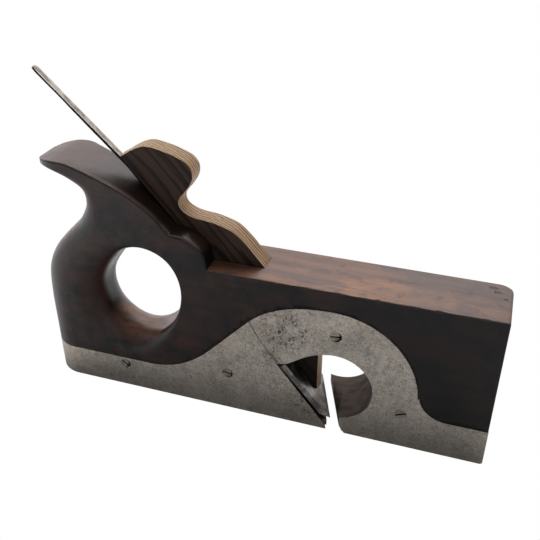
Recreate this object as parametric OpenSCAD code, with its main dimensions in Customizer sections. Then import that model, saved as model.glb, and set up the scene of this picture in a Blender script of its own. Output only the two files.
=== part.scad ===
// Skew-mouthed rebate plane: a wooden stock shod with a steel sole and steel cheeks,
// with a ring handle and horn, a T-shaped skew iron and a wooden wedge.
// Millimetres. The origin lies on the sole's centre line, 120.5 mm behind the toe.
// +X points to the toe, +Y to the left cheek and +Z up. The right cheek faces -Y.

/* [Stock] */
// Length of the stock from heel to toe
stock_len = 237.5; // [236:0.5:240]
// Width over the cheeks
stock_w = 31.75; // [29:0.25:36]
// Height of the flat deck in front of the wedge
deck_h = 84; // [82:0.5:90]
// Width of the flat left between the two upright roundings of the heel
heel_flat = 0.8; // [0.4:0.2:6]
// Radius of the toe's lower corner, as seen from the side
toe_corner_r = 1.5; // [0.5:0.1:3]

/* [Hand hole] */
// Half width of the oval hand hole
hole_half_w = 21; // [19:0.5:22]
// Half height of the oval hand hole
hole_half_h = 26.5; // [22:0.5:27]
// Forward lean of the hand hole
hole_lean = 19.5; // [10:0.5:25]

/* [Steel] */
// Thickness of each cheek plate
cheek_t = 3; // [2:0.25:3.5]
// Thickness of each sole plate
sole_t = 3.5; // [2.5:0.25:5]
// Height of the cheek along the heel
heel_strip_h = 18.5; // [17:0.5:20]
// Height of the cheek along the toe
toe_strip_h = 20.9; // [19:0.1:23]
// Width of the visible line between two cheek plates
joint_gap = 0.15; // [0.05:0.05:0.3]

/* [Throat] */
// Radius of the escapement
escape_r = 19.4; // [18.5:0.1:20]
// Angle that the bed and the mouth are turned from square across
skew = 21; // [15:0.5:24]
// Angle of the bed as seen on the cheek
bed_angle = 50; // [48:0.5:52]
// Angle of the abutment in front of the wedge
abutment_angle = 58.6; // [57:0.1:60]

/* [Iron] */
// Thickness of the iron at its cutting edge
blade_t = 3.5; // [3:0.1:4]
// Thickness of the iron where its tang bends
tang_t = 1.8; // [1.5:0.1:2.5]
// Height of the cutting edge above the sole, with the iron drawn back
edge_lift = 8.2; // [7:0.1:9]
// Angle that the tang bends back above the wedge
tang_bend = 5.6; // [3:0.1:6]
// Height of the end of the tang above the sole
tang_top = 169; // [160:0.5:172]

/* [Wedge] */
// Thickness of the wedge
wedge_w = 10.2; // [9:0.1:10.6]
// Width of the slot that holds the wedge and the tang
slot_w = 10.8; // [10:0.1:12]

/* [Screws] */
// Diameter of a cheek screw's head
cheek_head_d = 6; // [5:0.1:7]
// Diameter of a sole screw's head
sole_head_d = 8; // [7:0.1:9]
// Depth below the surface that each screw reaches
screw_len = 12; // [10:0.5:14]

/* [Hidden] */

$fn = 64;
toe_x = 120.5;
heel_x = toe_x - stock_len;
half_w = stock_w / 2;
heel_r = half_w - heel_flat / 2;
// Reach of a cut that has to pass right through, and of a cut's overrun
through = 200;
over = 1;
// Clearance of a sliding face
slide_gap = 0.05;

// The bed, taken as the plane of the iron's back, cuts the sole's centre line here.
bed_x = 40.4;
// Steepest slope of the skewed bed
bed_slope = atan(tan(bed_angle) / cos(skew));
// A cheek's bed edge is set back this far from the iron
cheek_relief = 0.75;
// Height on the sides where the bed edge ends at the escapement's tail
tail_h = 36.2;
// Centres of the escapement on the outer faces of the right and left cheeks
escape_right = [44.8, 28.8];
escape_left = [40.8, 28.8];
// Front wall of the mouth on the right cheek
mouth_x = 48.8;

// The abutment passes through this point
abutment_foot = [34, 38];

// Distances up the bed from the sole, and the cutting edge's relief over the sole
edge_m = (edge_lift - blade_t * cos(bed_slope)) / sin(bed_slope);
edge_relief = 11;
shoulder_m = 34.6 / sin(bed_slope);
bend_m = 125 / sin(bed_slope);
// The bed falls away above here, so that the bent tang can come down
ease_m = bend_m - 15;
tang_tip_t = 1.1;
// Half widths of the tang at its root and at its end
tang_root_half = 2.6;
tang_end_half = 2.8;

// Cheek screws: distance along, height, and the turn of the slot
cheek_screws = [[-70.5, 14.4, -47], [-11.1, 23.1, -11], [44.8, 59.3, 6], [78.9, 20.5, 24]];
// Sole screws: distance along, and the turn of the slot
sole_screws = [[-100, 35], [-42, -15], [14, 80], [66, 20], [106, -60]];

wood = [0.22, 0.12, 0.09];
pale_wood = [0.62, 0.47, 0.32];
steel = [0.56, 0.54, 0.51];
dark_steel = [0.38, 0.35, 0.33];

// ---- curves ----
function arc(centre, r, from, to, steps) =
    [for (i = [0:steps]) let (a = from + (to - from) * i / steps) centre + r * [cos(a), sin(a)]];
function bezier(a, b, c, d, steps) =
    [for (i = [1:steps]) let (t = i / steps, s = 1 - t)
        s * s * s * a + 3 * s * s * t * b + 3 * s * t * t * c + t * t * t * d];
// One span of a smooth curve through b and c, with a and d as the points on either side
function span(a, b, c, d, steps) =
    bezier(b, b + (c - a) / 6, c - (d - b) / 6, c, steps);
// A smooth curve through all points of a list
function smooth(p, steps) = concat([p[0]], [for (i = [0:len(p) - 2])
    each span(p[max(i - 1, 0)], p[i], p[i + 1], p[min(i + 2, len(p) - 1)], steps)]);

// ---- extrusions ----
// A side outline (distance along, height) made solid from y0 to y1
module across(y0, y1, outline) {
    translate([0, y1, 0])
        rotate([90, 0, 0])
            linear_extrude(y1 - y0)
                polygon(outline);
}
// A side outline as drawn on the right cheek, carried through at the skew
module skewed_across(outline) {
    rotate([0, 0, skew])
        rotate([90, 0, 0])
            linear_extrude(2 * through, center = true)
                polygon([for (p = outline) [p[0] * cos(skew) - half_w * sin(skew), p[1]]]);
}
// A profile (square to the bed, up the bed) carried along the skewed bed
module along_bed(profile) {
    translate([bed_x, 0, 0])
        rotate([0, 0, skew])
            rotate([0, bed_slope - 90, 0])
                rotate([90, 0, 0])
                    linear_extrude(through, center = true)
                        polygon(profile);
}

// ---- the stock's shape ----
// Back of the handle, up from the heel and round the tip of the horn
handle_back = [
    [0, 46], [0.7, 57], [2.6, 66.6], [7.3, 75.8], [14.5, 84.4], [21.1, 91.1], [26.3, 96.6],
    [30.2, 102.9], [32.7, 108.5], [32.6, 115.1], [27, 120.6], [20.5, 123.9], [14, 125.2],
    [8.5, 125], [6.3, 125.2]
];
// Top of the horn and its fall to the corner above the wedge
horn_top = [
    [6.3, 125.2], [7.2, 126.4], [9.6, 127.4], [13.5, 128.5], [19, 129.4], [25.5, 129.3],
    [30.5, 128.1], [40.5, 124.7], [50.5, 120.8], [60.3, 116], [69.9, 109], [74.6, 103.9], [78.4, 100]
];
// Round shoulder between that corner and the deck
shoulder = [[78.4, 100], [85.1, 99.4], [89.7, 97.2], [93.5, 94.2], [96, 90.4], [97.2, deck_h]];
function from_heel(points) = [for (p = points) [heel_x + p[0], p[1]]];

side_outline = concat(
    [[heel_x, 0]],
    smooth(from_heel(handle_back), 4),
    smooth(from_heel(horn_top), 3),
    smooth(from_heel(shoulder), 4),
    [[toe_x, deck_h], [toe_x, 0]]
);
// Plan of the stock and of its steel shoe, inset by a wall thickness
function plan(inset) = concat(
    arc([heel_x + heel_r, half_w - heel_r], heel_r - inset, 180, 90, 16),
    [[toe_x + (inset > 0 ? over : 0), half_w - inset],
     [toe_x + (inset > 0 ? over : 0), inset - half_w]],
    arc([heel_x + heel_r, heel_r - half_w], heel_r - inset, 270, 180, 16)
);
// Plan of the horn, which ends in a half round
horn_tip = 6.2;
horn_plan = concat(
    arc([heel_x + horn_tip + half_w, 0], half_w, 90, 270, 32),
    [[toe_x, -half_w], [toe_x, half_w]]
);
hole_centre = [heel_x + 60.8, 63.4];
hand_hole_outline = [for (i = [0:47]) let (a = i * 7.5, p = [hole_half_w * cos(a), hole_half_h * sin(a)])
    hole_centre + [p[0] * cos(hole_lean) + p[1] * sin(hole_lean),
                   p[1] * cos(hole_lean) - p[0] * sin(hole_lean)]];

// Where a line parallel to the bed, set forward by gap, stands on the right cheek
function bed_at(height, gap) =
    bed_x + half_w * tan(skew) + gap / (sin(bed_slope) * cos(skew)) - height / tan(bed_angle);
// Height at which the horn's plan takes over from the heel's
waist_h = 100;

// ---- the throat ----
// Tail of the escapement, from the tip of the bed to the top of the circle
tail_join = 107;
tail_meet = [25, 40.2];
tail_end = escape_right + escape_r * [cos(tail_join), sin(tail_join)];
function tail(tip) = concat(
    [tip],
    bezier(tip, [tip[0] + 4, tail_h - 0.2], [21.5, 37.6], tail_meet, 6),
    bezier(tail_meet, [29.5, 43.6], [33.5, 46.2], tail_end, 6)
);
// Nose of the rear cheeks at the mouth, cut back from the lip that the iron rests on
nose = [[42.1, -over], [42.1, 0.3], [40.6, 2.9], [39.4, 5.4]];
lip = [[43, -over], [43, 3.4], [41.6, 5.4]];
// Front wall of the mouth, eased where it meets the sole
mouth_front = [[mouth_x, 30], [mouth_x, 4.6], [50.2, 1.6], [52.8, -over]];
// Opening seen on the right cheek behind its edge at the mouth, less what the circle makes
function throat(gap, edge) = concat(
    edge,
    tail([bed_at(tail_h, gap), tail_h]),
    arc(escape_right, escape_r - 0.02, tail_join, 73, 6),
    mouth_front
);
// Everything in front of the line where the rear and front cheek plates meet
split_top = [-4, 68];
split_knee = [7.4, 47.2];
function front_region(gap, edge) = concat(
    edge,
    [[bed_at(tail_h, gap), tail_h], split_knee, split_top],
    [[toe_x + 2 * half_w, split_top[1] + 20], [toe_x + 2 * half_w, -over]]
);
module escapement() {
    turn = atan((escape_right[0] - escape_left[0]) / stock_w);
    translate([(escape_right[0] + escape_left[0]) / 2, 0, escape_right[1]])
        rotate([0, 0, turn])
            rotate([90, 0, 0])
                cylinder(h = 2 * stock_w, r = escape_r, center = true, $fn = 128);
}
// Slot from the deck down to the escapement, open over the bed
module wedge_slot() {
    rise = 120;
    foot_h = 24;
    run = [-1 / tan(abutment_angle), 1];
    clear = [slide_gap, 0];
    intersection() {
        across(-slot_w / 2, slot_w / 2, [
            abutment_foot + (foot_h - abutment_foot[1]) * run + clear,
            abutment_foot + rise * run + clear,
            [-through, abutment_foot[1] + rise],
            [-through, foot_h]
        ]);
        along_bed([
            [-slide_gap, -through], [through, -through], [through, through],
            [-slide_gap - (through - ease_m) * tan(tang_bend + 1), through], [-slide_gap, ease_m]
        ]);
    }
}

// ---- steel blanks ----
// Upper line of the cheeks, from the heel over the arch to the toe
ramp_foot = [-20, 36.1];
ramp_head = [0, 57.4];
arch_centre = [43, 30];
arch_r = 43;
fillet_r = 14.3;
fillet_centre = [arch_centre[0] + arch_r + fillet_r + 0.3, toe_strip_h + fillet_r];
cheek_outline = concat(
    [[heel_x - over, -over], [heel_x - over, heel_strip_h], [-55, heel_strip_h]],
    bezier([-55, heel_strip_h], [-43, heel_strip_h + 0.3], [-32, 23.3], ramp_foot, 8),
    [ramp_head],
    bezier(ramp_head, [11, 69.2], [26, arch_centre[1] + arch_r], arch_centre + [0, arch_r], 10),
    arc(arch_centre, arch_r, 90, 2, 16),
    arc(fillet_centre, fillet_r, 190, 270, 8),
    [[toe_x + over, toe_strip_h], [toe_x + over, -over]]
);
// Both cheeks of one side in one piece, before they are split
module cheek_blank(side) {
    intersection() {
        difference() {
            linear_extrude(deck_h) polygon(plan(0));
            translate([0, 0, -over]) linear_extrude(deck_h + 2 * over) polygon(plan(cheek_t));
        }
        across(min(0, side * half_w), max(0, side * half_w), cheek_outline);
    }
}
module sole_blank() {
    intersection() {
        linear_extrude(sole_t) polygon(plan(cheek_t));
        translate([heel_x, -half_w, -over]) cube([stock_len, stock_w, sole_t + 2 * over]);
    }
}

// What the rounding takes off the steel at the toe's lower corner
module toe_corner() {
    across(-through, through, concat(
        [[toe_x - toe_corner_r, -over], [toe_x + over, -over], [toe_x + over, toe_corner_r]],
        arc([toe_x - toe_corner_r, toe_corner_r], toe_corner_r, 0, -90, 6)
    ));
}

// ---- screws ----
// A countersunk wood screw below z = 0, or the hole that it needs when grown
module screw_shape(head_d, grow) {
    head_depth = head_d * 0.36;
    shank_r = head_d * 0.27;
    point_h = 3;
    translate([0, 0, -head_depth])
        cylinder(h = head_depth, r1 = shank_r + grow, r2 = head_d / 2 + grow, $fn = 48);
    translate([0, 0, point_h - screw_len])
        cylinder(h = screw_len - point_h - head_depth + 0.01, r = shank_r + grow, $fn = 48);
    translate([0, 0, -screw_len - grow])
        cylinder(h = point_h + grow, r1 = 0.3, r2 = shank_r + grow, $fn = 48);
}
module screw(head_d, turn) {
    slot = [head_d + 1, head_d * 0.13, 1.8];
    difference() {
        screw_shape(head_d, 0);
        rotate([0, 0, turn]) cube(slot, center = true);
    }
}
// Places a child, drawn pointing down, on a cheek (side -1 right, 1 left)
module on_cheek(place, side) {
    translate([place[0], side * half_w, place[1]])
        rotate([side * -90, 0, 0])
            rotate([0, 0, side > 0 ? 180 : 0])
                children();
}
module on_sole(place) {
    translate([place[0], 0, 0])
        rotate([180, 0, 0])
            children();
}
screw_clearance = 0.05;
module screw_holes() {
    for (side = [-1, 1])
        for (place = cheek_screws)
            on_cheek(place, side) screw_shape(cheek_head_d, screw_clearance);
    for (place = sole_screws)
        on_sole(place) screw_shape(sole_head_d, screw_clearance);
}

// ---- sub-parts ----
module stock() {
    color(wood)
        difference() {
            intersection() {
                across(-half_w, half_w, side_outline);
                union() {
                    linear_extrude(waist_h) polygon(plan(0));
                    translate([0, 0, waist_h]) linear_extrude(waist_h) polygon(horn_plan);
                }
            }
            across(-through, through, hand_hole_outline);
            wedge_slot();
            skewed_across(throat(-slide_gap, lip));
            escapement();
            cheek_blank(-1);
            cheek_blank(1);
            sole_blank();
            screw_holes();
        }
}

// Side outline of the wedge, from the top of its seat round the head to its tip
wedge_head = [
    [-64.8, 132.4], [-61, 135], [-56.5, 137.4], [-51.5, 138.6], [-44, 137.4], [-37.5, 135.5],
    [-32.4, 133.2], [-29.7, 130], [-29.2, 126.5], [-30.3, 122.8], [-33, 118.6], [-36.2, 114.6],
    [-37.2, 111.6], [-36.2, 108.8], [-33.4, 106.6], [-28.7, 105], [-21.5, 104.2], [-15.5, 102.8],
    [-9.5, 100.4], [-3.7, 95.2], [1, 89.7]
];
deck_point = abutment_foot + (deck_h - abutment_foot[1]) * [-1 / tan(abutment_angle), 1];
wedge_outline = concat(
    smooth(concat(wedge_head, [deck_point]), 3),
    [abutment_foot, [abutment_foot[0], 8], [0, 8], [-90, 118]]
);
// Thickness of the iron at a distance up the bed
function iron_t(m) = blade_t + (tang_t - blade_t) * (m - edge_m) / (bend_m - edge_m);
module wedge() {
    color(pale_wood)
        difference() {
            across(-wedge_w / 2, wedge_w / 2, wedge_outline);
            along_bed([
                [-through, -through],
                [iron_t(-through) + slide_gap, -through],
                [iron_t(through) + slide_gap, through],
                [-through, through]
            ]);
        }
}

module iron() {
    bevel = bed_slope - edge_relief;
    heel_m = edge_m + blade_t * cos(bevel) / sin(bevel);
    tang_end_m = (tang_top - bend_m * sin(bed_slope)) / sin(bed_slope - tang_bend);
    end_back = [-tang_end_m * sin(tang_bend), bend_m + tang_end_m * cos(tang_bend)];
    corner_r = 2.6;
    color(dark_steel)
        union() {
            intersection() {
                along_bed([
                    [blade_t, edge_m], [iron_t(shoulder_m), shoulder_m], [0, shoulder_m], [0, heel_m]
                ]);
                translate([-through, -half_w, -over]) cube([2 * through, stock_w, through]);
            }
            intersection() {
                along_bed([
                    [0, shoulder_m - over],
                    [iron_t(shoulder_m - over), shoulder_m - over],
                    [tang_t, bend_m],
                    end_back + tang_tip_t * [cos(tang_bend), sin(tang_bend)],
                    end_back,
                    [0, bend_m]
                ]);
                rotate([90, 0, 90])
                    linear_extrude(2 * through, center = true)
                        polygon(concat(
                            [[-tang_root_half, 20], [tang_root_half, 20]],
                            arc([tang_end_half - corner_r, tang_top + 0.6 - corner_r], corner_r, 0, 90, 6),
                            arc([corner_r - tang_end_half, tang_top + 0.6 - corner_r], corner_r, 90, 180, 6)
                        ));
            }
        }
}

module rear_cheek(side) {
    color(steel)
        difference() {
            cheek_blank(side);
            skewed_across(front_region(-cheek_relief, nose));
            screw_holes();
        }
}
module front_cheek(side) {
    color(steel)
        difference() {
            intersection() {
                cheek_blank(side);
                translate([joint_gap, 0, 0]) skewed_across(front_region(-cheek_relief, nose));
            }
            skewed_across(throat(-cheek_relief, nose));
            escapement();
            toe_corner();
            screw_holes();
        }
}
module rear_sole() {
    color(steel)
        difference() {
            sole_blank();
            skewed_across(front_region(-slide_gap, lip));
            screw_holes();
        }
}
module front_sole() {
    beyond_toe = toe_x + 2 * half_w;
    color(steel)
        difference() {
            intersection() {
                sole_blank();
                skewed_across(concat(mouth_front, [[beyond_toe, -over], [beyond_toe, 30]]));
            }
            toe_corner();
            screw_holes();
        }
}
module cheek_screw(i, side) {
    color(dark_steel)
        on_cheek(cheek_screws[i], side) screw(cheek_head_d, cheek_screws[i][2]);
}
module sole_screw(i) {
    color(dark_steel)
        on_sole(sole_screws[i]) screw(sole_head_d, sole_screws[i][1]);
}

stock();
wedge();
iron();
rear_cheek(-1);  // right_rear_cheek
front_cheek(-1);  // right_front_cheek
rear_cheek(1);  // left_rear_cheek
front_cheek(1);  // left_front_cheek
rear_sole();
front_sole();
cheek_screw(0, -1);  // right_heel_screw
cheek_screw(1, -1);  // right_bed_screw
cheek_screw(2, -1);  // right_arch_screw
cheek_screw(3, -1);  // right_toe_screw
cheek_screw(0, 1);  // left_heel_screw
cheek_screw(1, 1);  // left_bed_screw
cheek_screw(2, 1);  // left_arch_screw
cheek_screw(3, 1);  // left_toe_screw
sole_screw(0);  // sole_screw_1
sole_screw(1);  // sole_screw_2
sole_screw(2);  // sole_screw_3
sole_screw(3);  // sole_screw_4
sole_screw(4);  // sole_screw_5
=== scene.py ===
"""Skew rebate plane: a dark wooden stock shod with steel, its iron and its wedge, in metres."""

import math

import bmesh
import bpy
import numpy as np
from mathutils import Euler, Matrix, Vector, geometry, noise


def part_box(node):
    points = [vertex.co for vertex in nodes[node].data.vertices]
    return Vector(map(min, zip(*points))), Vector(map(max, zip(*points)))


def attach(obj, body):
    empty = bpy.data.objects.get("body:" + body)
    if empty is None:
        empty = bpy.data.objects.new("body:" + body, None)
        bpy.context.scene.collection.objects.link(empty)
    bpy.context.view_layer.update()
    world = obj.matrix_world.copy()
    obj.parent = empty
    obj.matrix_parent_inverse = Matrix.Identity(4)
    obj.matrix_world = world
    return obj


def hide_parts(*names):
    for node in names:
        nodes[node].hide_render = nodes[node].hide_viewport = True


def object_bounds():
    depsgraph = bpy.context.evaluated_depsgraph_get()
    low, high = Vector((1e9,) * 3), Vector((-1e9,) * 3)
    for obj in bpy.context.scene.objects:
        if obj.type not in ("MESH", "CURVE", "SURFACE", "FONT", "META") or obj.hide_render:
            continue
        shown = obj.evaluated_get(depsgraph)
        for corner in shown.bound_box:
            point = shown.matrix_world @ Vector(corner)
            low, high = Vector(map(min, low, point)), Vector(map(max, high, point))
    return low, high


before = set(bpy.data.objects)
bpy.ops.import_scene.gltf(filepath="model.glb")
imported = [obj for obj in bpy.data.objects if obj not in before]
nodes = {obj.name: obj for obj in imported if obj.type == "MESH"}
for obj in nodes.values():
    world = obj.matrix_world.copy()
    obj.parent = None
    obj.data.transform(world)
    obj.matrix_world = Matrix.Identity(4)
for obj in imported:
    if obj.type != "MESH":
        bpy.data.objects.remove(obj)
cad_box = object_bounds()

MM = 0.001
HEEL_X = cad_box[0].x / MM
TOE_X = cad_box[1].x / MM
HALF_W = cad_box[1].y / MM
DECK_Z = 84
BED_ANGLE = math.radians(50)


# ---- node helpers ----
def put(tree, socket, value):
    """Links a socket to another node's output, or sets it to a constant."""
    if isinstance(value, bpy.types.NodeSocket):
        tree.links.new(value, socket)
    else:
        socket.default_value = value


def add_node(tree, kind, values=(), **settings):
    """A new shader node. values gives its inputs by name or by number."""
    node = tree.nodes.new("ShaderNode" + kind)
    for name, value in settings.items():
        setattr(node, name, value)
    for name, value in dict(values).items():
        put(tree, node.inputs[name], value)
    return node


def split_rays(tree, seen, elsewhere, output):
    """Gives the camera's rays one shader and all other rays another."""
    path = add_node(tree, "LightPath")
    shaders = {1: elsewhere.outputs[0], 2: seen.outputs[0]}
    mix = add_node(tree, "MixShader", {"Fac": path.outputs["Is Camera Ray"], **shaders})
    tree.links.new(mix.outputs[0], tree.nodes[output].inputs["Surface"])


# ---- camera, lights and floor ----
def make_camera():
    """The photograph's view: from the right of the toe, looking down at the right cheek."""
    data = bpy.data.cameras.new("camera")
    data.lens = 49.13
    data.sensor_width = 36
    data.clip_start = 0.01
    camera = bpy.data.objects.new("camera", data)
    camera.location = (0.10187, -0.28957, 0.26969)
    camera.rotation_euler = Euler((math.radians(90 - 31.9), 0, math.radians(18.16)))
    bpy.context.scene.collection.objects.link(camera)
    bpy.context.scene.camera = camera


def softbox(name, place, aim, size, radiance):
    """A white rectangular lamp of an even radiance, which the camera doesn't see."""
    data = bpy.data.lights.new(name, "AREA")
    data.shape = "RECTANGLE"
    data.size, data.size_y = size
    data.energy = radiance * math.pi * size[0] * size[1]
    lamp = bpy.data.objects.new(name, data)
    lamp.location = place
    lamp.rotation_euler = (Vector(aim) - Vector(place)).to_track_quat("-Z", "Y").to_euler()
    lamp.visible_camera = False
    bpy.context.scene.collection.objects.link(lamp)


def make_world():
    """White behind the object, and a dimmer light from all round."""
    world = bpy.data.worlds.new("studio")
    bpy.context.scene.world = world
    world.use_nodes = True
    tree = world.node_tree
    white = tree.nodes["Background"]
    put(tree, white.inputs["Color"], (1, 1, 1, 1))
    put(tree, white.inputs["Strength"], 1.0)
    dim = add_node(tree, "Background", {"Color": (0.9, 0.95, 1, 1), "Strength": 0.16})
    split_rays(tree, white, dim, "World Output")


def make_floor():
    """A floor that the camera sees as even white, and that also glows behind and left of the object.

    Only reflections and the object's own light see the glow.
    """
    bpy.ops.mesh.primitive_plane_add(size=8, location=(0, 0, -0.0002))
    floor = bpy.context.object
    floor.name = "floor"
    material = bpy.data.materials.new("white_floor")
    material.use_nodes = True
    tree = material.node_tree
    tree.nodes.remove(tree.nodes["Principled BSDF"])
    place = add_node(tree, "TexCoord")
    split = add_node(tree, "SeparateXYZ", {0: place.outputs["Object"]})
    behind = add_node(tree, "MapRange", {"Value": split.outputs["Y"], "From Min": 0.0, "From Max": 0.12})
    left = add_node(tree, "MapRange", {"Value": split.outputs["X"], "From Min": -0.13, "From Max": -0.21})
    either = add_node(tree, "Math", {0: behind.outputs[0], 1: left.outputs[0]}, operation="MAXIMUM")
    strength = add_node(tree, "Math", {0: either.outputs[0], 1: 0.55}, operation="MULTIPLY")
    glow = add_node(tree, "Emission", {"Strength": strength.outputs[0]})
    cloth = add_node(tree, "BsdfDiffuse", {"Color": (0.8, 0.8, 0.8, 1)})
    both = add_node(tree, "AddShader", {0: cloth.outputs[0], 1: glow.outputs[0]})
    split_rays(tree, add_node(tree, "Emission"), both, "Material Output")
    floor.data.materials.append(material)


make_camera()
make_world()
make_floor()
softbox("overhead", (-0.25, 0.55, 1.0), (0, 0, 0.05), (1.2, 0.9), 2.0)
softbox("backdrop", (-0.2, 1.4, 0.75), (0, 0, 0.1), (2.8, 1.5), 1.15)
softbox("left_fill", (-1.2, 0.1, 0.4), (0, 0, 0.08), (1.5, 0.9), 0.6)
softbox("front_fill", (0.5, -1.6, 0.45), (0, 0, 0.05), (1.8, 0.8), 0.6)
bpy.context.scene.view_settings.view_transform = "Standard"


# ---- materials ----
class Graph:
    """One material's nodes. Every pattern reads Object coordinates, which are the frame's."""

    def __init__(self, name, **fixed):
        self.material = bpy.data.materials.new(name)
        self.material.use_nodes = True
        self.tree = self.material.node_tree
        self.shader = self.tree.nodes["Principled BSDF"]
        for socket, value in fixed.items():
            self.shader.inputs[socket.replace("_", " ")].default_value = value
        coordinates = self.add("TexCoord")
        self.place = coordinates.outputs["Object"]
        split = self.add("SeparateXYZ", {"Vector": self.place})
        self.x, self.y, self.z = split.outputs
        facing = self.add("SeparateXYZ", {"Vector": coordinates.outputs["Normal"]})
        _, self.face_y, self.face_z = facing.outputs

    def add(self, kind, values=(), **settings):
        return add_node(self.tree, kind, values, **settings)

    def put(self, socket, value):
        put(self.tree, socket, value)

    def maths(self, operation, *values):
        node = self.add("Math", operation=operation)
        for socket, value in zip(node.inputs, values):
            self.put(socket, value)
        return node.outputs[0]

    def scaled(self, vector, scale):
        return self.add("VectorMath", {0: vector, 1: scale}, operation="MULTIPLY").outputs[0]

    def hypot(self, a, b):
        squares = [self.maths("MULTIPLY", side, side) for side in (a, b)]
        return self.maths("SQRT", self.maths("ADD", *squares))

    def stretched(self, scale, turn=(0, 0, 0)):
        """Coordinates turned, then multiplied: a large scale along an axis makes detail fine there."""
        turned = self.add("VectorRotate", {"Vector": self.place, "Rotation": turn},
                          rotation_type="EULER_XYZ")
        return self.scaled(turned.outputs[0], scale)

    def along(self, direction):
        """Distance from the origin along a direction, in millimetres."""
        per_mm = tuple(c / MM for c in direction)
        return self.add("VectorMath", {0: self.place, 1: per_mm}, operation="DOT_PRODUCT").outputs["Value"]

    def off_line(self, start, end):
        """Distance from the line through two points of the side view. Millimetres."""
        run, rise = end[0] - start[0], end[1] - start[1]
        length = math.hypot(run, rise)
        across = (-rise / length, 0, run / length)
        offset = across[0] * start[0] + across[2] * start[1]
        return self.maths("ABSOLUTE", self.maths("SUBTRACT", self.along(across), offset))

    def noise(self, scale, start=None, detail=3, rough=0.5, twist=0.0):
        node = self.add("TexNoise", {"Vector": start or self.place, "Scale": scale, "Detail": detail,
                                     "Roughness": rough, "Distortion": twist})
        return node.outputs["Fac"]

    def fade(self, value, low, high):
        """0 below low and 1 above high, with a smooth step between them. low may be the larger."""
        node = self.add("MapRange", {"Value": value, "From Min": low, "From Max": high},
                        interpolation_type="SMOOTHSTEP")
        return node.outputs["Result"]

    def spot(self, x, z, radius, soft=0.5):
        """1 within a radius of a point of the side view, and 0 well outside it. Millimetres."""
        dx = self.maths("SUBTRACT", self.x, x * MM)
        dz = self.maths("SUBTRACT", self.z, z * MM)
        return self.fade(self.hypot(dx, dz), radius * MM, radius * MM * soft)

    def chip(self, x, y, radius):
        """1 within an uneven patch of the top, and 0 outside it. Millimetres."""
        dx = self.maths("SUBTRACT", self.along((1, 0, 0)), x)
        dy = self.maths("MULTIPLY", self.maths("SUBTRACT", self.along((0, 1, 0)), y), 1.4)
        uneven = self.maths("MULTIPLY", self.noise(900, detail=2), 2 * radius)
        away = self.maths("ADD", self.hypot(dx, dy), uneven)
        return self.fade(away, 1.9 * radius, 1.6 * radius)

    def mix(self, share, a, b):
        node = self.add("Mix", data_type="RGBA")
        self.put(node.inputs["Factor"], share)
        for socket, value in ((node.inputs[6], a), (node.inputs[7], b)):
            self.put(socket, (*value, 1) if isinstance(value, tuple) else value)
        return node.outputs[2]

    def all_of(self, *values):
        result = values[0]
        for value in values[1:]:
            result = self.maths("MULTIPLY", result, value)
        return result

    def bump(self, *layers):
        """Layers are (height from 0 to 1, depth in millimetres)."""
        normal = None
        for height, depth in layers:
            node = self.add("Bump", {"Height": height, "Strength": 1.0, "Distance": depth * MM})
            if normal is not None:
                self.put(node.inputs["Normal"], normal)
            normal = node.outputs["Normal"]
        self.put(self.shader.inputs["Normal"], normal)

    def finish(self, colour, roughness):
        self.put(self.shader.inputs["Base Color"], colour)
        self.put(self.shader.inputs["Roughness"], roughness)
        return self.material


# Round places of the side view, as (distance along, height, radius), millimetres
THROAT = (42.8, 28.8, 24)
ARCH_RIM = (43, 28.8, 25)
PITTED = ((20, 58, 16), (33, 17, 14), (13, 41, 7))
# Chips out of the top at the far toe corner, as (distance along, distance across, radius)
CHIPS = ((111.2, 10.8, 2.3), (113.4, 7.6, 1.9), (117.2, 2.5, 1.2))
# A fine dark line on the cheeks, from near their top down towards the escapement
SEAM = ((-4, 68), (7.4, 47.2), (17.1, 36.2))


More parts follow.
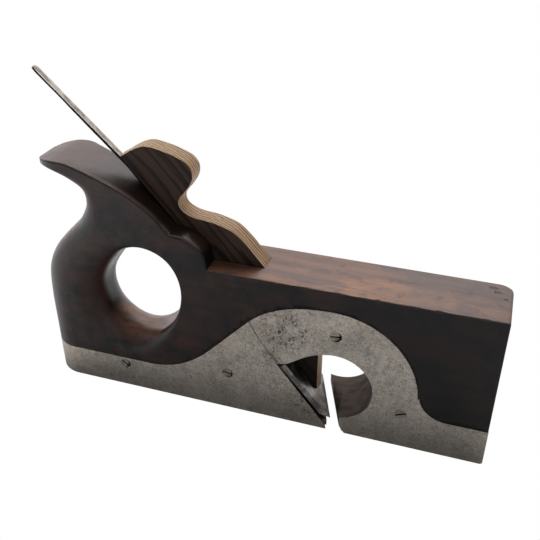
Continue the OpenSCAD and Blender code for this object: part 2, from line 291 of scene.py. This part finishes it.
def stock_material():
    """Dark oiled hardwood, near black on its sides and handled to a brown sheen on top."""
    g = Graph("aged_stock_wood", Specular_IOR_Level=0.4)
    grain = g.noise(1, g.stretched((45, 900, 900)), detail=5, rough=0.6, twist=0.3)
    streak = g.noise(1, g.stretched((16, 190, 190)), detail=4, rough=0.55)
    cloud = g.noise(55, detail=4, rough=0.55)
    smudge = g.noise(130, detail=3, rough=0.6)
    up = g.fade(g.face_z, 0.35, 0.85)
    dark = g.mix(g.fade(cloud, 0.38, 0.68), (0.009, 0.007, 0.007), (0.036, 0.018, 0.015))
    sooty = g.fade(g.x, 0.02, 0.07)
    dark = g.mix(g.all_of(g.fade(streak, 0.44, 0.62), g.fade(cloud, 0.4, 0.6)), dark, (0.052, 0.019, 0.014))
    dark = g.mix(g.all_of(sooty, 0.7), dark, (0.011, 0.008, 0.008))
    handled = g.all_of(g.fade(g.x, -0.02, -0.05), g.fade(smudge, 0.42, 0.62))
    dark = g.mix(g.all_of(handled, 0.6), dark, (0.055, 0.026, 0.020))
    horn = g.mix(g.fade(streak, 0.3, 0.72), (0.052, 0.026, 0.021), (0.125, 0.050, 0.032))
    deck = g.mix(g.fade(streak, 0.3, 0.72), (0.145, 0.074, 0.052), (0.28, 0.125, 0.075))
    worn = g.mix(g.fade(g.z, 0.104, 0.09), horn, deck)
    # Painted shadow of the wedge: the tops either side of it are darkened
    wedge_shadow = g.all_of(g.fade(g.x, -0.088, -0.054), g.fade(g.x, -0.008, -0.022), g.fade(g.z, 0.083, 0.09))
    toward_toe = g.fade(g.x, -0.01, 0.03)
    blotch = g.noise(1, g.stretched((34, 80, 80)), detail=5, rough=0.65)
    patch = g.all_of(g.fade(blotch, 0.44, 0.64), toward_toe, g.fade(g.y, 0.009, -0.002))
    worn = g.mix(g.all_of(patch, 0.75), worn, (0.46, 0.19, 0.075))
    worn = g.mix(g.all_of(g.fade(g.x, 0.05, 0.09), 0.4), worn, (0.085, 0.058, 0.056))
    worn = g.mix(g.all_of(g.fade(cloud, 0.5, 0.68), 0.55), worn, (0.085, 0.058, 0.056))
    worn = g.mix(g.all_of(g.fade(smudge, 0.58, 0.74), 0.7), worn, (0.060, 0.046, 0.044))
    # the painted shadow of the wedge darkens the tops beside it
    worn = g.mix(g.all_of(wedge_shadow, 0.8), worn, (0.018, 0.013, 0.012))
    colour = g.mix(up, dark, worn)
    slanting = g.all_of(g.fade(g.face_z, 0.12, 0.4), g.fade(g.face_z, 0.985, 0.85))
    arris = g.all_of(slanting, g.fade(g.y, -0.0135, -0.0150))
    rubbed = g.mix(g.fade(g.z, 0.092, 0.086), (0.10, 0.066, 0.056), (0.045, 0.038, 0.037))
    colour = g.mix(g.all_of(arris, g.fade(smudge, 0.35, 0.6)), colour, rubbed)
    above = g.all_of(g.fade(g.z, 0.088, 0.093), g.fade(g.y, -0.0125, -0.0140))
    # Painted shade: a dark line just under the horn's near arris
    arris_shade = g.all_of(above, g.fade(g.face_z, 0.02, 0.15), g.fade(g.face_z, 0.65, 0.5))
    colour = g.mix(g.all_of(arris_shade, 0.8), colour, (0.008, 0.006, 0.006))
    # Painted highlight: a pale line along the top of the horn's near arris
    arris_highlight = g.all_of(above, g.fade(g.face_z, 0.6, 0.75), g.fade(g.face_z, 0.97, 0.9))
    colour = g.mix(g.all_of(arris_highlight, 0.6), colour, (0.20, 0.13, 0.11))
    chips = 0.0
    for chip in CHIPS:
        chips = g.maths("MAXIMUM", chips, g.chip(*chip))
    chips = g.all_of(chips, up)
    colour = g.mix(chips, colour, (0.012, 0.008, 0.007))
    throat = g.all_of(g.spot(*THROAT, soft=0.8), g.fade(g.maths("ABSOLUTE", g.face_y), 0.7, 0.4))
    cut_wood = g.mix(g.fade(streak, 0.35, 0.65), (0.014, 0.009, 0.006), (0.085, 0.048, 0.030))
    colour = g.mix(throat, colour, cut_wood)
    colour = g.mix(g.all_of(g.fade(grain, 0.55, 0.8), 0.8), colour, (0.01, 0.006, 0.005))
    roughness = g.maths("ADD", 0.24, g.maths("MULTIPLY", smudge, 0.22))
    roughness = g.maths("ADD", roughness, g.maths("MULTIPLY", throat, 0.4))
    g.bump((grain, 0.05), (smudge, 0.1), (g.maths("SUBTRACT", 1.0, chips), 0.35))
    return g.finish(colour, roughness)


def wedge_material():
    """Straight-grained hardwood whose year rings run along the wedge, as the iron does."""
    g = Graph("aged_wedge_wood", Specular_IOR_Level=0.25)
    length = (-math.cos(BED_ANGLE), 0, math.sin(BED_ANGLE))
    across = (math.sin(BED_ANGLE), 0, math.cos(BED_ANGLE))
    lengthways = g.along(length)
    depth = g.along(across)
    fibres = g.add("CombineXYZ", {"X": depth, "Y": g.along((0, 1, 0)), "Z": lengthways}).outputs[0]
    wander = g.noise(1, g.scaled(fibres, (0.16, 0.2, 0.022)), detail=3)
    rings = g.maths("ADD", g.maths("MULTIPLY", g.along((0, 1, 0)), 0.58), g.maths("MULTIPLY", depth, 0.18))
    ring = g.maths("FRACT", g.maths("ADD", rings, g.maths("MULTIPLY", wander, 2.2)))
    late = g.all_of(g.fade(ring, 0.4, 0.85), g.fade(ring, 1.0, 0.92))
    fibre = g.noise(1, g.scaled(fibres, (1.5, 1.5, 0.06)), detail=4, rough=0.6)
    side = g.fade(g.maths("ABSOLUTE", g.face_y), 0.6, 0.9)
    pale = g.mix(late, (0.66, 0.42, 0.225), (0.20, 0.11, 0.058))
    pale = g.mix(g.fade(fibre, 0.45, 0.8), pale, (0.36, 0.24, 0.155))
    dark = g.mix(late, (0.066, 0.034, 0.021), (0.013, 0.009, 0.008))
    dark = g.mix(g.fade(fibre, 0.5, 0.8), dark, (0.022, 0.015, 0.012))
    colour = g.mix(side, pale, dark)
    # Painted shade: the wedge's sides are darkened low down, in the escapement between the cheeks
    colour = g.mix(g.all_of(side, g.fade(g.z, 0.055, 0.045), 0.7), colour, (0.012, 0.009, 0.008))
    g.bump((fibre, 0.05), (late, 0.03))
    return g.finish(colour, g.maths("ADD", 0.42, g.maths("MULTIPLY", fibre, 0.2)))


def times(colour, factor):
    return tuple(c * factor for c in colour)


def steel_material(name, base, deep, pits=1.0):
    """Old filed steel: a speckled grey patina, fine scratches, and dark pitting in patches."""
    g = Graph(name, Metallic=1.0)
    cloud = g.noise(60, detail=6, rough=0.7)
    speckle = g.noise(330, detail=6, rough=0.8)
    grit = g.noise(1300, detail=3, rough=0.7)
    brown = g.noise(95, detail=4, rough=0.65)
    scratch = g.noise(1, g.stretched((60, 1800, 1800)), detail=3, rough=0.6)
    cross = g.noise(1, g.stretched((1500, 1500, 90), turn=(0, 0.3, 0)), detail=3)
    pitted = g.maths("MULTIPLY", g.fade(cloud, 0.55, 0.68), 0.6)
    for place in PITTED:
        pitted = g.maths("MAXIMUM", pitted, g.spot(*place))
    holes = g.fade(g.noise(620, detail=4, rough=0.7), 0.53, 0.60)
    crowded = g.fade(g.noise(190, detail=3), 0.42, 0.55)
    pit = g.all_of(holes, crowded, pitted, pits)
    colour = g.mix(g.all_of(g.fade(cloud, 0.4, 0.7), 0.55), base, deep)
    colour = g.mix(g.all_of(g.fade(speckle, 0.42, 0.72), 0.8), colour, deep)
    gritty = g.all_of(g.fade(grit, 0.42, 0.70), g.fade(brown, 0.25, 0.55))
    colour = g.mix(gritty, colour, times(deep, 0.6))
    warm = (deep[0] * 1.05, deep[1] * 0.95, deep[2] * 0.85)
    colour = g.mix(g.all_of(g.fade(brown, 0.5, 0.72), 0.5), colour, warm)
    bright = tuple(min(c, 0.95) for c in times(base, 1.3))
    colour = g.mix(g.all_of(g.fade(scratch, 0.55, 0.8), 0.35), colour, bright)
    # Painted shade: the steel is darker towards the sole
    low = g.fade(g.z, 0.028, 0.0)
    colour = g.mix(g.all_of(low, 0.5), colour, times(deep, 0.55))
    colour = g.mix(g.all_of(pitted, g.fade(speckle, 0.4, 0.6), 0.35), colour, times(deep, 0.5))
    colour = g.mix(g.all_of(pit, 0.85), colour, (0.07, 0.058, 0.05))
    # Painted shade on the plates' inner edges round the arch, near black low down by the mouth
    rim = g.all_of(g.spot(*ARCH_RIM, soft=0.9), g.fade(g.maths("ABSOLUTE", g.face_y), 0.7, 0.3))
    colour = g.mix(g.all_of(rim, 0.45), colour, times(deep, 0.6))
    colour = g.mix(g.all_of(rim, g.fade(g.z, 0.030, 0.018)), colour, (0.045, 0.036, 0.030))
    above = g.fade(g.z, 0.0465, 0.0479)
    below = g.maths("SUBTRACT", 1.0, above)
    upper = g.all_of(g.fade(g.off_line(*SEAM[:2]), 0.5, 0.15), above, g.fade(g.z, 0.069, 0.067))
    lower = g.all_of(g.fade(g.off_line(*SEAM[1:]), 0.5, 0.15), below, g.fade(g.z, 0.035, 0.037))
    flat = g.fade(g.maths("ABSOLUTE", g.face_y), 0.7, 0.9)
    seam = g.all_of(g.maths("ADD", upper, lower), g.fade(g.x, 0.02, 0.018), flat)
    colour = g.mix(g.all_of(seam, 0.45), colour, (0.06, 0.05, 0.042))
    roughness = g.maths("ADD", 0.36, g.maths("MULTIPLY", speckle, 0.25))
    filled = g.maths("SUBTRACT", 1.0, pit)
    g.bump((scratch, 0.015), (cross, 0.01), (speckle, 0.03), (grit, 0.02), (filled, 0.12))
    return g.finish(colour, roughness)


def iron_material():
    """Forged steel with a brown patina, painted shade black on its flanks, and worn bright along its edges.
    """
    g = Graph("aged_iron_steel", Metallic=1.0)
    cloud = g.noise(160, detail=5, rough=0.65)
    speckle = g.noise(700, detail=4, rough=0.7)
    colour = g.mix(g.fade(cloud, 0.38, 0.62), (0.42, 0.36, 0.31), (0.16, 0.12, 0.10))
    colour = g.mix(g.fade(speckle, 0.5, 0.75), colour, (0.07, 0.055, 0.045))
    on_blade = g.fade(g.z, 0.046, 0.040)
    colour = g.mix(on_blade, colour, (0.22, 0.20, 0.185))
    # Painted highlight: bright streaks on the blade
    blade_highlight = g.all_of(on_blade, g.fade(cloud, 0.40, 0.72), g.fade(speckle, 0.7, 0.45))
    colour = g.mix(blade_highlight, colour, (0.74, 0.71, 0.68))
    off_centre = g.maths("ABSOLUTE", g.along((0, 1, 0)))
    on_tang = g.fade(g.z, 0.06, 0.08)
    rubbed = g.all_of(on_tang, g.fade(off_centre, 1.5, 2.3), g.fade(cloud, 0.42, 0.5))
    colour = g.mix(rubbed, colour, (0.56, 0.52, 0.47))
    # Painted shade: the tang's flanks near black
    flank_shade = g.all_of(on_tang, g.fade(g.maths("ABSOLUTE", g.face_y), 0.6, 0.8))
    colour = g.mix(flank_shade, colour, (0.02, 0.015, 0.013))
    g.bump((cloud, 0.1), (speckle, 0.05))
    return g.finish(colour, g.maths("ADD", 0.3, g.maths("MULTIPLY", cloud, 0.3)))


def screw_material():
    """Slotted screw heads filed flush, with painted shade in the slot and a painted shadow down one side of
    the head.
    """
    g = Graph("aged_screw_steel", Metallic=1.0)
    # Painted shade where the head lies more than about half a millimetre inside the plate's face, as in the
    # slot
    sunk_shade = g.fade(g.maths("ABSOLUTE", g.y), (HALF_W - 0.2) * MM, (HALF_W - 0.55) * MM)
    cloud = g.noise(500, detail=4, rough=0.6)
    colour = g.mix(g.fade(cloud, 0.35, 0.7), (0.62, 0.57, 0.51), (0.3, 0.265, 0.235))
    # Painted shadow down one side of each cheek screw's head: dark outside a disc set off its centre
    unshaded = 0.0
    for name, reach in (("heel", 2.9), ("bed", 3.1), ("arch", 2.7), ("toe", 4.6)):
        low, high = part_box(f"right_{name}_screw")
        centre = (low + high) / (2 * MM)
        unshaded = g.maths("MAXIMUM", unshaded, g.spot(centre.x - 1.0, centre.z + 0.4, reach + 0.4, soft=0.8))
    unshaded = g.maths("MAXIMUM", unshaded, g.fade(g.z, 0.002, 0.001))
    colour = g.mix(g.maths("SUBTRACT", 1.0, unshaded), colour, (0.025, 0.02, 0.017))
    colour = g.mix(sunk_shade, colour, (0.02, 0.016, 0.013))
    g.bump((cloud, 0.04))
    return g.finish(colour, 0.42)


FINISHES = {
    "stock_wood": stock_material(),
    "wedge_wood": wedge_material(),
    "plate_steel": steel_material("aged_plate_steel", (0.88, 0.79, 0.695), (0.50, 0.447, 0.388)),
    "sole_steel": steel_material("aged_sole_steel", (0.81, 0.73, 0.645), (0.5, 0.447, 0.388), pits=0.5),
    "iron_steel": iron_material(),
    "screw_steel": screw_material(),
}


# ---- mesh helpers, in millimetres of the side view (distance along, height) ----
def smooth(points, steps):
    """A smooth curve through every point. A point may carry more numbers, which follow it."""
    p = np.array(points, float)
    curve = [p[0]]
    for i in range(len(p) - 1):
        a, b, c, d = p[max(i - 1, 0)], p[i], p[i + 1], p[min(i + 2, len(p) - 1)]
        for t in np.linspace(0, 1, steps + 1)[1:]:
            s = 1 - t
            curve.append(s**3 * b + 3 * s * s * t * (b + (c - a) / 6)
                         + 3 * s * t * t * (c - (d - b) / 6) + t**3 * c)
    return curve


def inward(loop):
    """Unit normals at a loop's points, to the right of its direction, mitred at corners."""
    before = loop - np.roll(loop, 1, 0)
    after = np.roll(loop, -1, 0) - loop
    sides = []
    for edge in (before, after):
        edge = edge / np.linalg.norm(edge, axis=1)[:, None]
        sides.append(np.c_[edge[:, 1], -edge[:, 0]])
    total = sides[0] + sides[1]
    total /= np.linalg.norm(total, axis=1)[:, None]
    return total / np.maximum((total * sides[0]).sum(1), 0.5)[:, None]


def inside(points, loop):
    """Which points lie in a closed loop."""
    x, z = points[:, 0, None], points[:, 1, None]
    x0, z0 = loop[:, 0], loop[:, 1]
    x1, z1 = np.roll(x0, -1), np.roll(z0, -1)
    with np.errstate(divide="ignore", invalid="ignore"):
        hit = ((z0 > z) != (z1 > z)) & (x < x0 + (z - z0) * (x1 - x0) / (z1 - z0))
    return hit.sum(1) % 2 == 1


def close_side(bm, rings, spacing, fine):
    """Fills one flat side between the loops of vertices in rings, the outer loop first."""
    flat = [np.array([(v.co.x, v.co.z) for v in ring]) / MM for ring in rings]
    low, high = flat[0].min(0), flat[0].max(0)
    columns = np.arange(low[0] + spacing / 2, high[0], spacing)
    columns = np.unique(np.round(np.r_[columns, [c for c in fine if low[0] < c < high[0]]], 3))
    rows = np.arange(low[1] + spacing / 2, high[1], spacing)
    grid = np.array([(c, r) for c in columns for r in rows])
    grid = grid[inside(grid, flat[0])]
    for hole in flat[1:]:
        grid = grid[~inside(grid, hole)]
    border = np.vstack(flat)
    away = np.sqrt(((grid[:, None] - border[None]) ** 2).sum(2)).min(1)
    grid = grid[away > 0.45 * spacing]
    edges, start = [], 0
    for loop in flat:
        n = len(loop)
        edges += [(start + i, start + (i + 1) % n) for i in range(n)]
        start += n
    points = np.vstack([border, grid])
    made = geometry.delaunay_2d_cdt([Vector(p) for p in points], edges, [], 0, 1e-5)
    corners, _, faces, origins, _, _ = made
    verts = [v for ring in rings for v in ring]
    depth = verts[0].co.y
    verts += [bm.verts.new((p[0] * MM, depth, p[1] * MM)) for p in grid]
    centres = np.array([np.mean([corners[i] for i in face], axis=0) for face in faces])
    keep = inside(centres, flat[0])
    for hole in flat[1:]:
        keep &= ~inside(centres, hole)
    for face, wanted in zip(faces, keep):
        if wanted and all(origins[i] for i in face):
            bm.faces.new([verts[origins[i][0]] for i in face])


def rounded_slab(name, loops, half, spacing=3.0, fine=(), steps=8, plan=None):
    """A slab across the stock between y = -half and half, with its edges rounded.

    loops are (points, depth shares): points are (x, z, rounding on the right, on the left), the
    outer loop clockwise and holes the other way. plan(x, z, side) narrows it, as a share of half.
    """
    bm = bmesh.new()
    near_rings, far_rings = [], []
    turns = np.linspace(math.pi / 2, 0, steps + 1)
    for points, shares in loops:
        points = np.array(points, float)
        flat, reach = points[:, :2], points[:, 2:]
        normal = inward(flat)
        rows = []
        for side, column, angles in ((-1, 0, turns), (1, 1, turns[::-1])):
            share = shares[column]
            for angle in angles:
                at = flat + normal * (reach[:, column] * (1 - math.cos(angle)))[:, None]
                y = side * (half - share * reach[:, column] * (1 - math.sin(angle)))
                rows.append([bm.verts.new((p[0] * MM, d * MM, p[1] * MM)) for p, d in zip(at, y)])
        for a, b in zip(rows, rows[1:]):
            for i in range(len(flat)):
                j = (i + 1) % len(flat)
                bm.faces.new((a[i], a[j], b[j], b[i]))
        near_rings.append(rows[0])
        far_rings.append(rows[-1])
    close_side(bm, near_rings, spacing, fine)
    close_side(bm, far_rings, spacing, fine)
    if plan:
        for v in bm.verts:
            v.co.y *= plan(v.co.x / MM, v.co.z / MM, 1 if v.co.y > 0 else -1)
    bmesh.ops.recalc_face_normals(bm, faces=bm.faces)
    mesh = bpy.data.meshes.new(name)
    bm.to_mesh(mesh)
    bm.free()
    piece = bpy.data.objects.new(name, mesh)
    bpy.context.scene.collection.objects.link(piece)
    return piece


def cad_copy(node, name):
    """A copy of a CAD node as one closed mesh with whole flat faces."""
    bm = bmesh.new()
    bm.from_mesh(nodes[node].data)
    bmesh.ops.remove_doubles(bm, verts=bm.verts, dist=1e-6)
    bmesh.ops.dissolve_limit(bm, angle_limit=math.radians(0.2), verts=bm.verts, edges=bm.edges)
    mesh = bpy.data.meshes.new(name)
    bm.to_mesh(mesh)
    bm.free()
    piece = bpy.data.objects.new(name, mesh)
    bpy.context.scene.collection.objects.link(piece)
    return piece


def settle(piece):
    """Applies a piece's modifiers."""
    bpy.context.view_layer.update()
    mesh = bpy.data.meshes.new_from_object(piece.evaluated_get(bpy.context.evaluated_depsgraph_get()))
    piece.modifiers.clear()
    piece.data = mesh


def trim_to(piece, node):
    """Keeps what a piece and a CAD node's solid have in common, with all the node's cuts."""
    solid = cad_copy(node, "trimmer")
    trim = piece.modifiers.new("trim", "BOOLEAN")
    trim.operation = "INTERSECT"
    trim.solver = "EXACT"
    trim.object = solid
    settle(piece)
    bpy.data.objects.remove(solid)


def bevel(piece, width, segments=2):
    """Eases every edge sharper than 30 degrees. Millimetres."""
    modifier = piece.modifiers.new("bevel", "BEVEL")
    modifier.width = width * MM
    modifier.segments = segments
    modifier.limit_method = "ANGLE"
    modifier.angle_limit = math.radians(30)
    settle(piece)


def shade(piece, material):
    """Smooth shading but for edges sharper than 32 degrees, with flat faces kept flat."""
    piece.data.materials.clear()
    piece.data.materials.append(material)
    piece.data.shade_smooth()
    piece.data.set_sharp_from_angle(angle=math.radians(32))
    weighted = piece.modifiers.new("weighted_normals", "WEIGHTED_NORMAL")
    weighted.keep_sharp = True
    weighted.weight = 60


def dress(piece, node, body, finish):
    """Gives a finished piece its material and its body, in place of its CAD node."""
    shade(piece, FINISHES[finish])
    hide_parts(node)
    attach(piece, body)


# ---- the wooden stock ----
# Distance from the heel, height, and the rounding of the edge on the right and on the left
HANDLE_BACK = [
    (0, 46, 15.4, 15.4), (0.7, 57, 15.1, 15.1), (2.6, 66.6, 14.4, 14.4), (7.3, 75.8, 13.4, 13.4),
    (14.5, 84.4, 12.4, 12.4), (21.1, 91.1, 11.9, 11.9), (26.3, 96.6, 11, 11), (30.2, 102.9, 10, 10),
    (32.7, 108.5, 8, 8), (32.6, 115.1, 6, 4.5), (27, 120.6, 3, 1.8), (20.5, 123.9, 1.4, 1),
    (14, 125.2, 0.7, 0.6), (8.5, 125, 0.15, 0.15), (6.3, 125.2, 0.02, 0.02)
]
HORN_TOP = [
    (6.3, 125.2, 0.02, 0.02), (7.2, 126.4, 0.12, 0.12), (9.6, 127.4, 0.45, 0.45), (13.5, 128.5, 0.8, 0.9),
    (19, 129.4, 0.9, 1.8), (25.5, 129.3, 0.9, 3), (30.5, 128.1, 0.9, 4.5), (40.5, 124.7, 0.9, 6),
    (50.5, 120.8, 0.9, 5.5), (60.3, 116, 0.9, 4.5), (69.9, 109, 1, 3.5), (74.6, 103.9, 1.2, 3),
    (78.4, 100, 1.4, 3)
]
SHOULDER = [
    (78.4, 100, 1.4, 3), (85.1, 99.4, 2, 3), (89.7, 97.2, 2.2, 3), (93.5, 94.2, 2.2, 2.5),
    (96, 90.4, 1.8, 2), (97.2, DECK_Z, 0.8, 0.8)
]
# Nicks in the deck's near arris: distance from the heel, depth and half length
NICKS = ((180.0, 1.3, 1.1), (161.5, 0.7, 2.0), (146.0, 0.6, 2.5), (207.0, 0.5, 1.6), (228.0, 0.7, 2.2))
SKIN = 0.07  # how far the wood's surface lies inside the CAD solid's
HORN_TIP = HEEL_X + 6.2
HORN_Z = 100  # above this height the horn's tip is rounded in plan
FAR_TOE_RADIUS = 7


def worn_arris(along):
    """Rounding of the deck's near arris, uneven with wear and nicked in a few places."""
    rounding = 0.75 + 0.45 * noise.noise((along * 0.11, 0, 0)) + 0.2 * noise.noise((along * 0.5, 3, 0))
    for place, depth, reach in NICKS:
        rounding += depth * math.exp(-((along - place) / reach) ** 2)
    return max(rounding, 0.4)


def stock_outline():
    points = [(0, 0, 15.4, 15.4), (0, 20, 15.4, 15.4)]
    points += smooth(HANDLE_BACK, 7)[:-1] + smooth(HORN_TOP, 6)[:-1] + smooth(SHOULDER, 7)
    length = TOE_X - HEEL_X
    points += [(x, DECK_Z, worn_arris(x), 0.8) for x in np.arange(99.5, length - 8, 0.9)]
    points += [(length - d, DECK_Z, 0.7, 0.8) for d in (8, 6.5, 5, 4, 3, 2.2, 1.5)]
    corner = 1.0
    for turn in np.radians([90, 60, 30, 0]):
        x = length - corner + corner * math.cos(turn)
        z = DECK_Z - corner + corner * math.sin(turn)
        points.append((x, z, 0.6, 0.6))
    for z in np.arange(79, 20, -2):
        worn = 0.4 * max(noise.noise((z * 0.2, 7, 0)), 0)
        points.append((length, z, 0.7 + worn, 0.8))
    points += [(length, 15, 0.7, 0.8), (length, 0, 0.7, 0.8)]
    loop = np.array([tuple(p) for p in points], float)
    loop[:, 0] += HEEL_X
    loop[:, :2] += inward(loop[:, :2]) * SKIN
    return loop


# The hand hole is an oval that leans towards the toe
HOLE_CENTRE = (HEEL_X + 60.8, 63.4)
HOLE_HALF = (21, 26.5)
HOLE_LEAN = math.radians(19.5)
HOLE_SHARES = (0.85, 0.9)
# Angle round it from the toe's side, how far its rim is hollowed on the right and on the left,
# and how far it is worn larger than the CAD hole
HOLE_RIM = [
    (-180, 12, 9, 1.6), (-160, 13, 15, 4.0), (-132, 15.5, 17, 5.2), (-110, 17.5, 17.5, 4.6),
    (-84, 15.3, 17.5, 3.0), (-52, 7.8, 14, 1.2), (-28, 4.0, 9, 0), (0, 1.2, 4.5, 0), (30, 0.7, 2.5, 0),
    (70, 0.6, 1.2, 0), (95, 0.7, 0.9, 0), (120, 3, 0.8, 0), (140, 6.5, 0.8, 0), (160, 10, 2.0, 0),
    (180, 12, 9, 1.6)
]


def hole_outline():
    """The hand hole, whose rim is hollowed towards the foot of the handle."""
    rim = np.array([tuple(r) for r in smooth(HOLE_RIM, 6)])
    loop = []
    for angle in np.arange(-180, 180, 4.0):
        a = math.radians(angle)
        near, far, grown = (np.interp(angle, rim[:, 0], rim[:, column]) for column in (1, 2, 3))
        grown = max(grown, 0)
        px = (HOLE_HALF[0] + grown) * math.cos(a)
        pz = (HOLE_HALF[1] + grown) * math.sin(a)
        x = HOLE_CENTRE[0] + px * math.cos(HOLE_LEAN) + pz * math.sin(HOLE_LEAN)
        z = HOLE_CENTRE[1] + pz * math.cos(HOLE_LEAN) - px * math.sin(HOLE_LEAN)
        loop.append((x, z, near, far))
    loop = np.array(loop)
    loop[:, :2] += inward(loop[:, :2]) * SKIN
    return loop


def stock_plan(x, z, side):
    """Half width of the stock at a place, as a share: the horn's tip and the far toe corner are rounded."""
    reach = HALF_W + (5.5 if side > 0 else 0.5)
    if z > HORN_Z and x < HORN_TIP + reach:
        past = (HORN_TIP + reach - x) / (reach - 0.02)
        return math.sqrt(max(1 - past * past, 0.0))
    if side > 0 and x > TOE_X - 8 and z > 40:
        radius = min(FAR_TOE_RADIUS, (z - 40) / 6)
        past = max(x - (TOE_X - SKIN - radius), 0)
        return 1 - (radius - math.sqrt(max(radius * radius - past * past, 0))) / HALF_W
    return 1.0


def make_stock():
    horn_columns = HORN_TIP + 1.35 * HALF_W * (1 - np.cos(np.radians(np.arange(8, 90, 7))))
    toe_columns = TOE_X - np.array([1.5, 2.2, 3, 4, 5, 6.5, 8])
    loops = [(stock_outline(), (1.0, 1.0)), (hole_outline(), HOLE_SHARES)]
    piece = rounded_slab("plane_stock", loops, HALF_W - SKIN, fine=(*horn_columns, *toe_columns),
                         steps=10, plan=stock_plan)
    trim_to(piece, "stock")
    dress(piece, "stock", "plane", "stock_wood")


# ---- the wedge ----
WEDGE_HEAD = [
    (-64.8, 132.4), (-61, 135), (-56.5, 137.4), (-51.5, 138.6), (-44, 137.4), (-37.5, 135.5),
    (-32.4, 133.2), (-29.7, 130), (-29.2, 126.5), (-30.3, 122.8), (-33, 118.6), (-36.2, 114.6),
    (-37.2, 111.6), (-36.2, 108.8), (-33.4, 106.6), (-28.7, 105), (-21.5, 104.2), (-15.5, 102.8),
    (-9.5, 100.4), (-3.7, 95.2), (1, 89.7), (5.92, DECK_Z)
]


def make_wedge():
    """The wedge's head in full. In the slot its outline is only roomy, and the CAD wedge trims it."""
    rounding = 0.4
    points = [(p[0], p[1], rounding, rounding) for p in smooth(WEDGE_HEAD, 6)]
    points += [(34, 38, 0.2, 0.2), (34, 8, 0.2, 0.2), (0, 8, 0.2, 0.2), (-90, 118, 0.2, 0.2)]
    loop = np.array(points, float)
    loop[:, :2] += inward(loop[:, :2]) * SKIN
    piece = rounded_slab("plane_wedge", [(loop, (1.0, 1.0))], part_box("wedge")[1].y / MM - SKIN, steps=5)
    trim_to(piece, "wedge")
    dress(piece, "wedge", "wedge", "wedge_wood")


# ---- the iron ----
def ramp(value, low, high):
    """0 below low, 1 above high, and straight between them."""
    return min(max((value - low) / (high - low), 0), 1)


def make_iron():
    """The CAD iron with its edges eased and the tang left uneven, as it came from the hammer."""
    piece = cad_copy("iron", "plane_iron")
    bevel(piece, 0.3, segments=3)
    bm = bmesh.new()
    bm.from_mesh(piece.data)
    bmesh.ops.triangulate(bm, faces=bm.faces)
    for _ in range(6):
        long_edges = [e for e in bm.edges if e.calc_length() > 3.2 * MM]
        if not long_edges:
            break
        bmesh.ops.subdivide_edges(bm, edges=long_edges, cuts=1, use_grid_fill=False)
        bmesh.ops.triangulate(bm, faces=bm.faces)
    bm.normal_update()
    shifts = {}
    for v in bm.verts:
        height = v.co.z / MM
        forged = ramp(height, 45, 65) * (1 - ramp(height, 160, 169))
        wave = noise.noise(v.co * 95) * 0.16 + noise.noise(v.co * 320) * 0.07 - 0.12
        shifts[v] = v.normal * (forged * wave * MM)
    for v, shift in shifts.items():
        v.co += shift
    bm.to_mesh(piece.data)
    bm.free()
    dress(piece, "iron", "iron", "iron_steel")


# ---- steel plates and screws ----
def make_plate(node, finish):
    """A CAD plate with its edges eased."""
    piece = cad_copy(node, node + "_plate")
    bevel(piece, 0.18)
    dress(piece, node, "plane", finish)


def make_screw(node, tilt=(0, 0, 0), sink=0.08):
    """A screw driven a little askew, so that one side of its head stands below the plate."""
    piece = cad_copy(node, node + "_wood_screw")
    bevel(piece, 0.1)
    low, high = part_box(node)
    centre = (low + high) / 2
    side = 0.0
    if abs(centre.y) > 1 * MM:
        side = math.copysign(1, centre.y)
        pivot = Vector((centre.x, side * HALF_W * MM, centre.z))
        push = Vector((0, -side * sink * MM, 0))
    else:
        pivot = Vector((centre.x, 0, 0))
        push = Vector((0, 0, sink * MM))
    turn = Euler([math.radians(a) for a in tilt]).to_matrix()
    for v in piece.data.vertices:
        v.co = pivot + turn @ (v.co - pivot) + push
    dress(piece, node, "plane", "screw_steel")


make_stock()
make_wedge()
make_iron()
for plate in ("right_rear_cheek", "right_front_cheek", "left_rear_cheek", "left_front_cheek"):
    make_plate(plate, "plate_steel")
for plate in ("rear_sole", "front_sole"):
    make_plate(plate, "sole_steel")
for side in ("right", "left"):
    make_screw(side + "_heel_screw", tilt=(2, 0, 4), sink=0.25)
    make_screw(side + "_bed_screw", tilt=(0, 0, 3), sink=0.2)
    make_screw(side + "_arch_screw", tilt=(2, 0, 4), sink=0.25)
    make_screw(side + "_toe_screw", sink=0.03)
for number in range(1, 6):
    make_screw(f"sole_screw_{number}", sink=0.15)
